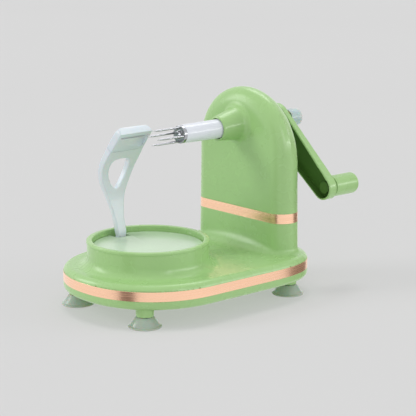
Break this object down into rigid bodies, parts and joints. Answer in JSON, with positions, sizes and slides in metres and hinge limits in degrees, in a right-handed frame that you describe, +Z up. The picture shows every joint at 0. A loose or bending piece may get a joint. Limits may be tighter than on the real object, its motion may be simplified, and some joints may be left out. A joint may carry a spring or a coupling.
{
  "type": "apple peeler corer",
  "caption": "Hand-cranked fruit peeler: a fork spins the fruit while a geared turntable carries a spring-loaded peeling arm around it.",
  "frame": {"origin": "bottom centre of the whole machine's box, on the surface it stands on", "axes": "+X along the fork and main shaft towards the crank handle, +Y to the side where the peeling arm rests, +Z up"},
  "size_m": [0.2521, 0.152, 0.1784],
  "materials": {
    "green_plastic": "satin-gloss moulded plastic",
    "copper_trim": "brushed rose-copper foil band",
    "mint_plastic": "smooth satin plastic",
    "knob_plastic": "milky translucent plastic",
    "white_plastic": "smooth gloss plastic",
    "cup_rubber": "milky translucent soft vinyl",
    "steel": "polished stainless steel",
    "bearing_brass": "sintered bush",
    "nylon": "moulded nylon",
    "dark_washer": "matte"
  },
  "bodies": {
    "housing": {"upper_housing": "green_plastic", "rear_cover": "green_plastic", "base_plate": "green_plastic", "base_trim_band": "copper_trim", "column_trim_band": "copper_trim", "suction_cup_front_left": "cup_rubber", "suction_cup_front_right": "cup_rubber", "suction_cup_rear_left": "cup_rubber", "suction_cup_rear_right": "cup_rubber", "base_screw_1": "steel", "base_screw_2": "steel", "base_screw_3": "steel", "base_screw_4": "steel", "cover_screw_1": "steel", "cover_screw_2": "steel", "cover_screw_3": "steel", "cover_screw_4": "steel", "front_bush": "nylon", "rear_bush": "nylon", "upper_shaft_bush": "bearing_brass", "lower_shaft_bush": "bearing_brass", "compound_gear_pin": "steel", "turntable_axle": "steel"},
    "crankshaft": {"main_shaft": "steel", "spindle_sleeve": "white_plastic", "fork_hub": "steel", "fork_prong_1": "steel", "fork_prong_2": "steel", "fork_prong_3": "steel", "fork_prong_4": "steel", "drive_mitre_gear": "nylon", "crank_lever": "green_plastic", "lever_nut": "steel", "grip_axle": "steel", "grip_washer": "dark_washer", "ejector_spring": "steel"},
    "grip": {"crank_grip": "green_plastic"},
    "ejector": {"ejector_disc": "steel", "ejector_rod": "steel", "ejector_knob": "knob_plastic"},
    "vertical_drive": {"vertical_shaft": "steel", "driven_mitre_gear": "nylon", "drive_pinion": "nylon"},
    "compound_wheel": {"compound_gear": "nylon"},
    "turntable": {"turntable_gear": "nylon", "turntable_plate": "green_plastic", "arm_pivot_pin": "steel", "arm_spring": "steel"},
    "arm": {"peeling_arm": "mint_plastic", "blade_carrier": "mint_plastic", "peeler_blade": "steel"}
  },
  "joints": [
    {"name": "crank_turn", "type": "hinge", "parent": "housing", "child": "crankshaft", "pos_m": [0, 0, 0.1447], "axis": [1, 0, 0], "range_deg": [-240, 2880]},
    {"name": "grip_spin", "type": "hinge", "parent": "crankshaft", "child": "grip", "pos_m": [0.113, -0.06355, 0.09287], "axis": [1, 0, 0], "continuous": true},
    {"name": "ejector_push", "type": "slide", "parent": "crankshaft", "child": "ejector", "axis": [-1, 0, 0], "range_m": [0, 0.006], "stiffness_N_per_m": 300},
    {"name": "vertical_shaft_turn", "type": "hinge", "parent": "housing", "child": "vertical_drive", "pos_m": [0.0592, 0, 0.06], "axis": [0, 0, 1], "range_deg": [-240, 2880]},
    {"name": "compound_wheel_turn", "type": "hinge", "parent": "housing", "child": "compound_wheel", "pos_m": [0.0011, 0, 0.025], "axis": [0, 0, 1], "range_deg": [-720, 60]},
    {"name": "turntable_turn", "type": "hinge", "parent": "housing", "child": "turntable", "pos_m": [-0.057, 0, 0.05], "axis": [0, 0, 1], "range_deg": [-15, 180]},
    {"name": "arm_swing", "type": "hinge", "parent": "turntable", "child": "arm", "pos_m": [-0.055, 0.0406, 0.05], "axis": [-1, 0, 0], "range_deg": [0, 18], "stiffness_Nm_per_rad": 0.08, "springref_deg": -17.19}
  ],
  "couplings": [
    {"joint": "vertical_shaft_turn", "follows": "crank_turn", "ratio": 1},
    {"joint": "compound_wheel_turn", "follows": "crank_turn", "ratio": -0.25},
    {"joint": "turntable_turn", "follows": "crank_turn", "ratio": 0.0625}
  ]
}
